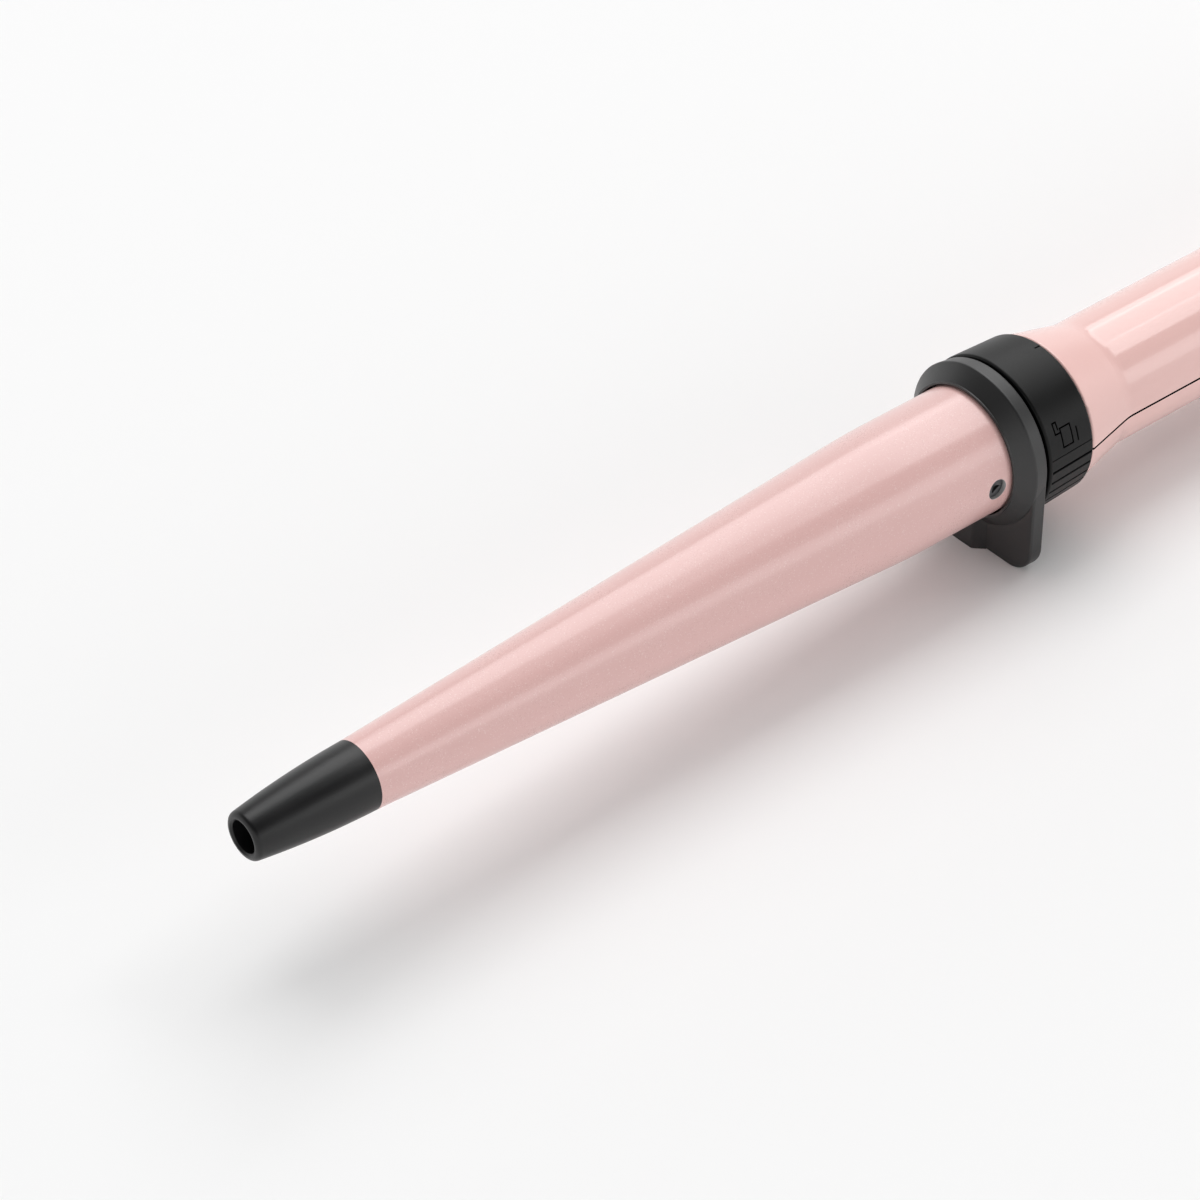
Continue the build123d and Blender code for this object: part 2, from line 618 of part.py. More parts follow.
def make_head_plug():
    plug = lathe(
        (-PLUG_NOSE, 0),
        (-PLUG_NOSE, COLLAR_BORE_R - SEAT_GAP),
        (COLLAR_DEPTH, COLLAR_BORE_R - SEAT_GAP),
        (COLLAR_DEPTH, PLUG_FLANGE_R),
        (FLANGE_END_X, PLUG_FLANGE_R),
        (FLANGE_END_X, PLUG_R),
        (SLEEVE_END_X, PLUG_R, PLUG_EDGE_R),
        (SLEEVE_END_X, 0),
    )
    for angle in LUG_ANGLES:
        plug += sector(LUG_X, LUG_END_X, PLUG_R - CLAW_GAP, LUG_R, angle, LUG_ARC)
    key = block(
        SLEEVE_X + FREE_GAP, SLEEVE_END_X - FREE_GAP,
        -KEY_HALF_WIDTH, KEY_HALF_WIDTH, PLUG_R - CLAW_GAP, PLUG_R + KEY_HEIGHT,
    )
    plug += Rot(LUG_FIRST - 90, 0, 0) * key
    for y, z in PIN_PLACES:
        plug -= rod(-PLUG_NOSE, SLEEVE_END_X, PIN_R + SEAT_GAP / 2, y, z)
    return plug - plug_screw_pattern(rod(COLLAR_DEPTH, FLANGE_END_X, PLUG_SCREW_R + SEAT_GAP))


def make_contact_pins():
    front = -PLUG_NOSE - PIN_FRONT
    pin = lathe((front, 0), (front, PIN_R), (PIN_END_X, PIN_R, PIN_NOSE_R), (PIN_END_X, 0))
    return group(Pos(0, y, z) * pin for y, z in PIN_PLACES)


# Lock ring
def make_lock_ring():
    """The lugs enter by slots in the ring's front and turn in rooms whose ends are the stops."""
    mouth_r = PLUG_FLANGE_R + RING_MOUTH_GAP
    groove_r = SLEEVE_FLANGE_R + FREE_GAP
    groove_end = SLEEVE_FLANGE_X + FREE_GAP
    bore_r = JOURNAL_R + RUN_GAP
    ring = lathe(
        (RING_X, mouth_r),
        (RING_X, RING_R, RING_EDGE_R),
        (RING_END_X, RING_R - RING_TAPER, RING_EDGE_R),
        (RING_END_X, bore_r),
        (groove_end, bore_r),
        (groove_end, groove_r),
        (LUG_END_X, groove_r),
        (LUG_END_X, CLAW_R),
        (CLAW_X, CLAW_R),
        (CLAW_X, mouth_r),
    )
    inner_r = CLAW_R - CLAW_GAP
    slot = sector(CLAW_X - FREE_GAP, LUG_X, inner_r, LUG_ROOM_R, 0, LUG_ARC + SLOT_PLAY)
    room_arc = LUG_ARC + RING_TURN + 2 * STOP_PLAY
    room = sector(CLAW_END_X, LUG_END_X + FREE_GAP, inner_r, LUG_ROOM_R, -RING_TURN / 2, room_arc)
    ring = ring - around(slot, LUG_ANGLES) - around(room, LUG_ANGLES)
    return ring - make_ridges() - ring_marks()


def ring_radius(x):
    return RING_R - RING_TAPER * (x - RING_X) / RING_LENGTH


def ridge_outline(x):
    """Outline of the ridged stretch at one place: grooves with one steep and one sloping side."""
    bottom = 270
    pitch = 2 * (bottom - RIDGE_FIRST) / RIDGE_COUNT
    crest = ring_radius(x) - RIDGE_SINK
    angles = [RIDGE_FIRST + k * pitch for k in range(RIDGE_COUNT + 1)]
    teeth = []
    for k, angle in enumerate(angles[:-1]):
        depth = RIDGE_DEPTH if k else RIDGE_DEPTH / 2
        teeth.append((crest - depth, angle))
        teeth.append((crest, angle + degrees(depth / crest)))
        teeth.append((crest, angles[k + 1]))
    room = [(RING_R + RIDGE_DEPTH, angle) for angle in reversed(angles)]
    corners = [Vector(radius, 0).rotate(Axis.Z, angle) for radius, angle in teeth + room]
    return Plane.YZ.offset(x) * make_face(Polyline(*corners, close=True))


def make_ridges():
    """Cutter of the ridges, which run round the ring's underside from side to side."""
    return loft([ridge_outline(RING_X + RIDGE_RIM), ridge_outline(RING_END_X + FREE_GAP)], ruled=True)


def mark_stroke(x0, x1, angle0, angle1):
    """Cutter of one stroke along or round the ring."""
    surface = ring_radius((x0 + x1) / 2)
    half = MARK_WIDTH / 2
    arc = angle1 - angle0 + degrees(MARK_WIDTH / surface)
    return sector(x0 - half, x1 + half, surface - MARK_DEPTH, RING_R + MARK_DEPTH, (angle0 + angle1) / 2, arc)


def ring_marks():
    """Cutters of the padlock, read with the wand's tip upwards, of its bar and of the index line."""
    front = RING_X + CASE_FRONT
    back = front + CASE_LENGTH
    last = CASE_FIRST + CASE_ARC
    bow = front - SHACKLE_RISE
    inner = bow + SHACKLE_BAND
    bar = back + BAR_GAP
    return [
        mark_stroke(front, front, CASE_FIRST, last),
        mark_stroke(back, back, CASE_FIRST, last),
        mark_stroke(front, back, CASE_FIRST, CASE_FIRST),
        mark_stroke(front, back, last, last),
        mark_stroke(bow, front, SHACKLE_HINGE, SHACKLE_HINGE),
        mark_stroke(bow, bow, SHACKLE_FREE, SHACKLE_HINGE),
        mark_stroke(bow, inner, SHACKLE_FREE, SHACKLE_FREE),
        mark_stroke(inner, inner, SHACKLE_FREE, CASE_FIRST),
        mark_stroke(bar, bar, last - BAR_ARC, last),
        mark_stroke(RING_END_X - INDEX_LENGTH, RING_END_X, INDEX_ANGLE, INDEX_ANGLE),
    ]


# Handle: outside shape and shells
@cache
def handle_solid(inset=0.0):
    """The handle's outside shape, drawn in by the given amount all round."""
    swell_x = FLARE_X + SWELL_RUN
    round_r = WIDEST_R - SWELL_R + sqrt(SWELL_R**2 - (ROUND_X - WIDEST_X) ** 2)
    neck = FilletPolyline(
        (HANDLE_X, 0),
        (HANDLE_X, NECK_FRONT_R - inset),
        (NECK_END_X, GRIP_R - inset),
        (FLARE_X, GRIP_R - inset),
        radius=[NECK_EDGE_R, NECK_BLEND_R],
    )
    flare = TangentArc(neck @ 1, (swell_x, GRIP_R + SWELL_RISE - inset), tangent=(1, 0))
    swell = ThreePointArc(flare @ 1, (WIDEST_X, WIDEST_R - inset), (ROUND_X, round_r - inset))
    end = TangentArc(swell @ 1, (HANDLE_END_X, END_R - inset), tangent=swell % 1)
    back = Polyline(end @ 1, (HANDLE_END_X, 0), neck @ 0)
    return revolve(make_face([neck, flare, swell, end, back]), Axis.X)


def neck_radius(x):
    return NECK_FRONT_R + (GRIP_R - NECK_FRONT_R) * (x - HANDLE_X) / NECK_LENGTH


def inside_skin(shape):
    """Keep the part of a rib or pillar that ends within the shell's wall."""
    return shape & handle_solid(SHELL_WALL / 2)


def shell_rib(x0, radius):
    return inside_skin(rod(x0, x0 + RIB_THICK, WIDEST_R) - rod(x0, x0 + RIB_THICK, radius))


@cache
def handle_blank():
    hollow = handle_solid(SHELL_WALL) & block(
        HANDLE_X + FRONT_WALL, HANDLE_END_X - END_WALL, -OUTSIDE, OUTSIDE, -OUTSIDE, OUTSIDE
    )
    blank = handle_solid() - hollow
    blank -= rod(HANDLE_X, HANDLE_X + FRONT_WALL, SLEEVE_OUT_R + SEAT_GAP)
    blank -= rod(HANDLE_END_X - END_WALL, HANDLE_END_X, END_COLLAR_SPIGOT_R + SEAT_GAP)
    blank += shell_rib(SLEEVE_LOCK_END_X + SEAT_GAP, SLEEVE_OUT_R + SEAT_GAP)
    blank += shell_rib(SOCKET_END_X + SEAT_GAP, neck_radius(NECK_END_X) - SHELL_WALL - SOCKET_RIB_DEPTH)
    seam = handle_solid() - handle_solid(SEAM_DEPTH)
    half = SEAM_GAP / 2
    return blank - (seam & block(HANDLE_X, HANDLE_END_X, -OUTSIDE, OUTSIDE, -half, half))


def half_space(side):
    low, high = (0, OUTSIDE) if side > 0 else (-OUTSIDE, 0)
    return block(HANDLE_X - OUTSIDE, HANDLE_END_X + OUTSIDE, -OUTSIDE, OUTSIDE, low, high)


def window_prism(grow):
    middle = SWITCH_X + BEZEL_OFFSET
    outline = Pos(middle, 0) * SlotOverall(BEZEL_LENGTH + 2 * grow, BEZEL_WIDTH + 2 * grow)
    return extrude(Plane.XY.offset(GRIP_R / 2) * outline, GRIP_R)


def slide_slot():
    length = KNOB_LENGTH + SWITCH_TRAVEL + 2 * FREE_GAP
    return plate(SWITCH_X, 0, length, KNOB_WIDTH + 2 * FREE_GAP, GUIDE_TOP, OUTSIDE)


def lamp_hole():
    return post(LAMP_X, 0, 0, OUTSIDE, LENS_R + SEAT_GAP / 2)


def make_upper_shell():
    shell = handle_blank() & half_space(1)
    for x in SHELL_SCREW_XS:
        shell += inside_skin(post(x, 0, 0, OUTSIDE, PILLAR_R))
        shell -= post(x, 0, 0, SHELL_SCREW_BITE + SEAT_GAP, SHELL_SCREW_R + SEAT_GAP / 2)
    pocket = window_prism(SEAT_GAP) - handle_solid(BEZEL_THICK)
    return shell - pocket - slide_slot() - lamp_hole()


def make_lower_shell():
    shell = handle_blank() & half_space(-1)
    for x in SHELL_SCREW_XS:
        shell += inside_skin(post(x, 0, -OUTSIDE, 0, PILLAR_R))
        shell -= post(x, 0, -OUTSIDE, -SHELL_SCREW_SEAT, SHELL_SCREW_HEAD_R + 2 * SEAT_GAP)
        shell -= post(x, 0, -SHELL_SCREW_SEAT, 0, SHELL_SCREW_R + SEAT_GAP)
    for x in BOARD_SCREW_XS:
        shell += inside_skin(post(x, 0, -OUTSIDE, BOARD_BOTTOM, STANDOFF_R))
        shell -= post(x, 0, BOARD_BOTTOM - BOARD_SCREW_BITE - SEAT_GAP, 0, BOARD_SCREW_R + SEAT_GAP / 2)
    return shell


def make_shell_screws():
    screw = post(0, 0, -SHELL_SCREW_SEAT - SHELL_SCREW_HEAD, -SHELL_SCREW_SEAT, SHELL_SCREW_HEAD_R)
    screw += post(0, 0, -SHELL_SCREW_SEAT, SHELL_SCREW_BITE, SHELL_SCREW_R)
    depth = SHELL_SCREW_HEAD / 2
    base = -SHELL_SCREW_SEAT - SHELL_SCREW_HEAD
    bar = plate(0, 0, SHELL_SCREW_HEAD_R, depth, base, base + depth)
    screw -= [bar, Rot(0, 0, 90) * bar]
    return group(Pos(x, 0, 0) * screw for x in SHELL_SCREW_XS)


# Handle: socket for the head
def make_socket_sleeve():
    lock_r = neck_radius(SLEEVE_LOCK_END_X) - SHELL_WALL - SEAT_GAP
    sleeve = lathe(
        (SLEEVE_X, SLEEVE_BORE_R),
        (SLEEVE_X, SLEEVE_FLANGE_R),
        (SLEEVE_FLANGE_X, SLEEVE_FLANGE_R),
        (SLEEVE_FLANGE_X, JOURNAL_R),
        (HANDLE_X, JOURNAL_R),
        (HANDLE_X, SLEEVE_OUT_R),
        (SLEEVE_LOCK_X, SLEEVE_OUT_R),
        (SLEEVE_LOCK_X, lock_r),
        (SLEEVE_LOCK_END_X, lock_r),
        (SLEEVE_LOCK_END_X, SLEEVE_OUT_R),
        (SLEEVE_END_X, SLEEVE_OUT_R),
        (SLEEVE_END_X, SLEEVE_BORE_R),
    )
    keyway = block(
        SLEEVE_X, SLEEVE_END_X, -KEY_HALF_WIDTH - FREE_GAP, KEY_HALF_WIDTH + FREE_GAP,
        0, PLUG_R + KEY_HEIGHT + FREE_GAP,
    )
    return sleeve - Rot(LUG_FIRST - 90, 0, 0) * keyway


def make_socket_block():
    radius = min(neck_radius(SOCKET_END_X), GRIP_R) - SHELL_WALL - SEAT_GAP
    body = rod(SOCKET_X, SOCKET_END_X, radius)
    for y, z in PIN_PLACES:
        body -= rod(SOCKET_X, SOCKET_END_X, CONTACT_R + SEAT_GAP / 2, y, z)
    return body


def make_contact_sleeves():
    cup = rod(SOCKET_X, CONTACT_END_X, CONTACT_R)
    cup -= rod(SOCKET_X, CONTACT_END_X - CONTACT_TAIL, CONTACT_BORE_R)
    return group(Pos(0, y, z) * cup for y, z in PIN_PLACES)


def make_socket_wires():
    """Wires from the contacts, past the front pillar, to the front of the board."""
    inner_y = PILLAR_R + 2 * WIRE_R
    lie_z = BOARD_TOP + WIRE_R + SEAT_GAP / 2
    wires = []
    for y, z in PIN_PLACES:
        side = 1 if y > 0 else -1
        lane = side * (inner_y if z > 0 else inner_y + 3 * WIRE_R)
        wires.append(wire(
            WIRE_R,
            WIRE_BEND_R,
            (CONTACT_END_X, y, z),
            (CONTACT_END_X + WIRE_LEAD, y, z),
            (CONTACT_END_X + WIRE_LEAD + WIRE_LAND, lane, z),
            (BOARD_X - SEAT_GAP, lane, lie_z),
            (BOARD_X + WIRE_LAND, lane, lie_z),
        ))
    return group(wires)


# Handle: board, switch and lamp
def make_circuit_board():
    half = sqrt(GRIP_BORE_R**2 - BOARD_BOTTOM**2) - BOARD_EDGE_GAP
    board = block(BOARD_X, BOARD_END_X, -half, half, BOARD_BOTTOM, BOARD_TOP)
    for x in BOARD_SCREW_XS:
        board -= post(x, 0, BOARD_BOTTOM, BOARD_TOP, BOARD_SCREW_R + SEAT_GAP)
    return board


def make_board_screws():
    screw = post(0, 0, BOARD_TOP, BOARD_TOP + BOARD_SCREW_HEAD, BOARD_SCREW_HEAD_R)
    screw += post(0, 0, BOARD_BOTTOM - BOARD_SCREW_BITE, BOARD_TOP, BOARD_SCREW_R)
    return group(Pos(x, 0, 0) * screw for x in BOARD_SCREW_XS)


def make_board_components():
    places = ((CAPACITOR_AT, CAPACITOR_SIZE), (TRIAC_AT, TRIAC_SIZE), (CHIP_AT, CHIP_SIZE))
    return group(
        plate(BOARD_X + at, 0, length, width, BOARD_BOTTOM - height, BOARD_BOTTOM)
        for at, (length, width, height) in places
    )


def make_power_switch():
    length, width, height = SWITCH_SIZE
    body = plate(SWITCH_X, 0, length, width, BOARD_TOP, SWITCH_TOP)
    slot_length = NIB_SIZE + SWITCH_TRAVEL + 2 * FREE_GAP
    slot_width = NIB_SIZE + 2 * FREE_GAP
    slot_bottom = SWITCH_TOP - NIB_DEPTH - FREE_GAP
    return body - plate(SWITCH_X, 0, slot_length, slot_width, slot_bottom, SWITCH_TOP)


def make_switch_nib():
    return plate(SLIDE_X, 0, NIB_SIZE, NIB_SIZE, SWITCH_TOP - NIB_DEPTH, SWITCH_TOP + NIB_HEIGHT)


def make_switch_slider():
    top = GRIP_R + KNOB_PROUD
    knob = plate(SLIDE_X, 0, KNOB_LENGTH, KNOB_WIDTH, GUIDE_TOP, top)
    knob = fillet(knob.edges().filter_by(Axis.Z), KNOB_CORNER_R)
    knob = fillet(knob.edges().group_by(Axis.Z)[-1], KNOB_CORNER_R / 2)
    pitch = KNOB_LENGTH / (KNOB_RIDGES + 1)
    for k in range(KNOB_RIDGES):
        x = SLIDE_X + (k - (KNOB_RIDGES - 1) / 2) * pitch
        knob -= Pos(x, 0, top) * Rot(90, 0, 0) * Cylinder(KNOB_RIDGE_DEPTH, OUTSIDE)
    guide_length = KNOB_LENGTH + 2 * (SWITCH_TRAVEL + FREE_GAP)
    guide_bottom = GUIDE_TOP - GUIDE_THICK
    guide = plate(SLIDE_X, 0, guide_length, GUIDE_WIDTH, guide_bottom, GUIDE_TOP)
    hole = NIB_SIZE + 2 * SEAT_GAP
    fork = plate(SLIDE_X, 0, hole + 2 * FORK_WALL, hole + 2 * FORK_WALL, SWITCH_TOP + FREE_GAP, guide_bottom)
    pocket = plate(SLIDE_X, 0, hole, hole, SWITCH_TOP, SWITCH_TOP + NIB_HEIGHT + SEAT_GAP)
    return knob + guide + fork - pocket


def make_switch_bezel():
    skin = handle_solid() - handle_solid(BEZEL_THICK)
    return (skin & window_prism(0)) - slide_slot() - lamp_hole()


def make_indicator_lamp():
    die_top = BOARD_TOP + LED_HEIGHT
    die = plate(LAMP_X, 0, LED_SIZE, LED_SIZE, BOARD_TOP, die_top)
    return die + post(LAMP_X, 0, die_top, die_top + LED_DOME, LED_DOME_R)


def make_indicator_lens():
    base = BOARD_TOP + LED_HEIGHT + LED_DOME + SEAT_GAP
    flange_top = sqrt(GRIP_BORE_R**2 - (LENS_R + LENS_FLANGE) ** 2) - SEAT_GAP
    pipe = post(LAMP_X, 0, base, GRIP_R + LENS_PROUD, LENS_R)
    pipe = fillet(pipe.edges().group_by(Axis.Z)[-1], LENS_PROUD)
    return pipe + post(LAMP_X, 0, flange_top - LENS_FLANGE, flange_top, LENS_R + LENS_FLANGE)


# Cord end
def make_end_collar():
    bore = GLAND_NECK_R + RUN_GAP
    flange_r = END_COLLAR_SPIGOT_R + END_COLLAR_FLANGE_STEP
    return lathe(
        (END_FLANGE_X, bore),
        (END_FLANGE_X, flange_r),
        (END_FLANGE_X + END_COLLAR_FLANGE, flange_r),
        (END_FLANGE_X + END_COLLAR_FLANGE, END_COLLAR_SPIGOT_R),
        (HANDLE_END_X, END_COLLAR_SPIGOT_R),
        (HANDLE_END_X, END_R),
        (END_COLLAR_X, END_R - END_COLLAR_EDGE_R, END_COLLAR_EDGE_R),
        (END_COLLAR_X, bore),
    )


def make_swivel_gland():
    return lathe(
        (GLAND_STUB_X, CORD_BORE_R),
        (GLAND_STUB_X, GLAND_STUB_R),
        (GLAND_FLANGE_X, GLAND_STUB_R),
        (GLAND_FLANGE_X, GLAND_NECK_R + GLAND_FLANGE_STEP),
        (GLAND_FLANGE_END_X, GLAND_NECK_R + GLAND_FLANGE_STEP),
        (GLAND_FLANGE_END_X, GLAND_NECK_R),
        (GLAND_HEAD_X, GLAND_NECK_R),
        (GLAND_HEAD_X, GLAND_HEAD_R, GLAND_EDGE_R),
        (GLAND_END_X, GLAND_TAIL_R, (GLAND_TAIL_R - CORD_BORE_R) / 2),
        (GLAND_END_X, CORD_BORE_R),
    )


def slip_ring_x(k):
    return GLAND_STUB_X + SLIP_RING_INSET + k * SLIP_RING_PITCH


def make_slip_rings():
    rings = []
    for k in range(SLIP_RING_COUNT):
        x0 = slip_ring_x(k)
        x1 = x0 + SLIP_RING_WIDTH
        rings.append(rod(x0, x1, SLIP_RING_R) - rod(x0, x1, GLAND_STUB_R + SEAT_GAP / 2))
    return group(rings)


def make_slip_brushes():
    """Blades that stand on the rear of the board and run beside the slip rings."""
    blades = []
    y0 = SLIP_RING_R + FREE_GAP
    for k in range(SLIP_RING_COUNT):
        blade = block(
            BOARD_END_X - BRUSH_LAND, slip_ring_x(k) + SLIP_RING_WIDTH,
            y0, y0 + BRUSH_THICK, BOARD_TOP, BOARD_TOP + BRUSH_WIDTH,
        )
        blades.append(blade if k % 2 == 0 else mirror(blade, Plane.XZ))
    return group(blades)


PIECES = {
    "barrel": make_barrel(),
    "cool_tip": make_cool_tip(),
    "tip_screw": make_tip_screw(),
    "tip_anchor": make_tip_anchor(),
    "heat_spreader_upper": make_heat_spreader(0),
    "heat_spreader_lower": make_heat_spreader(180),
    "ptc_stones": make_ptc_stones(),
    "electrode_strips": make_electrode_strips(),
    "insulating_film": make_insulating_film(),
    "heater_lead": make_heater_lead(),
    "thermal_fuse": make_thermal_fuse(),
    "temperature_sensor": make_temperature_sensor(),
    "stand_collar": make_stand_collar(),
    "barrel_screws": make_barrel_screws(),
    "head_plug": make_head_plug(),
    "plug_screws": make_plug_screws(),
    "contact_pins": make_contact_pins(),
    "lock_ring": make_lock_ring(),
    "upper_shell": make_upper_shell(),
    "lower_shell": make_lower_shell(),
    "shell_screws": make_shell_screws(),
    "socket_sleeve": make_socket_sleeve(),
    "socket_block": make_socket_block(),
    "contact_sleeves": make_contact_sleeves(),
    "socket_wires": make_socket_wires(),
    "circuit_board": make_circuit_board(),
    "board_screws": make_board_screws(),
    "board_components": make_board_components(),
    "power_switch": make_power_switch(),
    "switch_nib": make_switch_nib(),
    "switch_slider": make_switch_slider(),
    "switch_bezel": make_switch_bezel(),
    "indicator_lamp": make_indicator_lamp(),
    "indicator_lens": make_indicator_lens(),
    "end_collar": make_end_collar(),
    "swivel_gland": make_swivel_gland(),
    "slip_rings": make_slip_rings(),
    "slip_brushes": make_slip_brushes(),
}

os.makedirs("parts", exist_ok=True)
for name, piece in PIECES.items():
    export_step(STAND * piece, f"parts/{name}.step")
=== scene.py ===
import json
from math import ceil, cos, pi, sin

import bmesh
import bpy
from mathutils import Matrix, Vector


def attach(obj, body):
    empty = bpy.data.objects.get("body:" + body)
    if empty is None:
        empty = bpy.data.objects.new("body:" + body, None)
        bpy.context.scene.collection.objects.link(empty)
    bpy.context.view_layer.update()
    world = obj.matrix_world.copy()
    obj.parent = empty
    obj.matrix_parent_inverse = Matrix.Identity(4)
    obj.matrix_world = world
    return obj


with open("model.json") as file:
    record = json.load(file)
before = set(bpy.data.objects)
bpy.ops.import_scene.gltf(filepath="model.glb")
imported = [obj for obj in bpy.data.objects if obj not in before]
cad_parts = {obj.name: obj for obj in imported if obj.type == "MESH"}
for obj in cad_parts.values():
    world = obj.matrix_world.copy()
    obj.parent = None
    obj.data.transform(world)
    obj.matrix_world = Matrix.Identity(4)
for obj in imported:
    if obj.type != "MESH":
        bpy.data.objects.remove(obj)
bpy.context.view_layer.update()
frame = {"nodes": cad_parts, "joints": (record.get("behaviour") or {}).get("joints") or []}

MM = 0.001

# The wand's own axes: x along it from the collar's front to the cord, z up, angles from +y towards +z
RING_MIDDLE = 12.25 * MM
ring_joint = next(joint for joint in frame["joints"] if joint["name"] == "lock_ring_turn")
REAR = Vector(ring_joint["axis"])
FAR = Vector((0, 1, 0))
UP = REAR.cross(FAR)
WAND = Matrix((REAR, FAR, UP)).transposed().to_4x4()
WAND.translation = Vector(ring_joint["pos_m"]) - RING_MIDDLE * REAR

# Camera, in the wand's axes
CAMERA_AT = Vector((-477.07, -465.69, 507.03)) * MM
CAMERA_TARGET = Vector((-77.7, 9.4, 0.0)) * MM
CAMERA_LENS = 138.456          # millimetres
CAMERA_SENSOR = 36.0           # width in millimetres
CAMERA_REACH = 60.0

# Softboxes: direction from the wand, size along it and across it, radiance
SOFTBOX_REACH = 8.0            # from the wand to each of them
SOFTBOXES = {
    "key_softbox": (Vector((0.36, 0.357, 0.862)), (9.6, 5.0), 2.95),
    "rim_light": (Vector((0.55, 0.62, 0.56)), (3.0, 1.5), 3.0),
    "strip_light": (Vector((0.60, -0.15, 0.786)), (2.3, 3.1), 3.4),
    "side_softbox": (Vector((0.46, -0.82, 0.34)), (4.8, 2.8), 1.35),
}

# Floor, wall and ceiling
FLOOR_HALF = 5.0
FLOOR_WHITE = (0.90, 0.90, 0.90, 1)
WALL_TOP = 0.30                # height of direction where the white backdrop ends
WALL_LEVEL = 1.0
CEILING_START = 0.55
CEILING_LEVEL = 0.06           # what gloss sees of the dark ceiling
CEILING_FILL = 0.32            # what the ceiling adds to the soft light
WHITE = (1, 1, 1, 1)

# Colours, linear
PINK_COAT = (0.73, 0.446, 0.422, 1)
PINK_FLAKE = (0.86, 0.66, 0.63, 1)
PINK_SHELL = (0.82, 0.52, 0.485, 1)
# painted shade for the walls of the handle's joint line and switch slot
SEAM_SHADE_DARK = (0.006, 0.006, 0.007, 1)
BARE_METAL = (0.52, 0.51, 0.51, 1)
RED_LIGHT = (0.62, 0.10, 0.09, 1)
RED_DEEP = (0.34, 0.03, 0.03, 1)
THREAD_DARK = (0.46, 0.44, 0.40, 1)
THREAD_PALE = (0.78, 0.76, 0.70, 1)
BOARD_GREEN = (0.018, 0.11, 0.045, 1)
TRACK_GREEN = (0.05, 0.22, 0.09, 1)

# Places on the wand
SCREW_ALONG = -3.2 * MM
SCREW_HOLE_R = 2.05 * MM
SEAM_HALF = 0.235 * MM         # from the handle's split to just inside its shells
GRIP_R = 12.35 * MM
SLOT_ALONG = 84.2 * MM         # middle of the switch's slot
SLOT_HALF_LENGTH = 7.3 * MM
SLOT_HALF_WIDTH = 2.5 * MM
SLOT_FLOOR = 8.0 * MM          # height above the wand's axis
EDGE_BLUR = 0.02 * MM          # width of the change between two colours
RING_FRONT = 6.6 * MM
RING_HALF = RING_MIDDLE - RING_FRONT
RING_R = 16.0 * MM             # at the front
RING_TAPER = 0.5 * MM / (2 * RING_HALF)
RING_EDGE = 0.6 * MM           # length of the rounded end
GROOVE_SHADE_START = 0.08 * MM       # depths between which painted shade, a dull finish without reflection, fills the ring's grooves
GROOVE_SHADE_FULL = 0.20 * MM

# Scales of the wave patterns
BRAID_SCALES = (1100, 1500)    # one for each set of threads
TRACK_SCALE = 160

# Printed marks beside the switch
MARK_WIDTH = 0.25 * MM
MARK_PROUD = 0.03 * MM
MARK_ROOT = 0.1 * MM           # how far a mark reaches below the grip's surface
MARK_STEP = 0.35 * MM          # longest facet of a mark
MARK_HALF = 0.6 * MM           # half of a mark's length along the wand
MARK_ALONG = 88.2 * MM         # the slide's place at rest
MARK_PITCH = 4.0 * MM          # between two places of the slide
MARK_ASIDE = 3.75 * MM         # round the grip, from its top
BAR_PITCH = 0.6 * MM           # between the two bars of II
ZERO_POINTS = 24


# Shader building
class Field:
    """A socket of a node tree. Arithmetic on fields adds the Math nodes that it needs."""

    def __init__(self, finish, socket):
        self.finish = finish
        self.socket = socket

    def math(self, operation, first, second):
        return self.finish.node("ShaderNodeMath", {"operation": operation}, {0: first, 1: second})

    def __add__(self, other):
        return self.math("ADD", self, other)

    def __radd__(self, other):
        return self.math("ADD", other, self)

    def __sub__(self, other):
        return self.math("SUBTRACT", self, other)

    def __rsub__(self, other):
        return self.math("SUBTRACT", other, self)

    def __mul__(self, other):
        return self.math("MULTIPLY", self, other)

    def __rmul__(self, other):
        return self.math("MULTIPLY", other, self)

    def __pow__(self, other):
        return self.math("POWER", self, other)


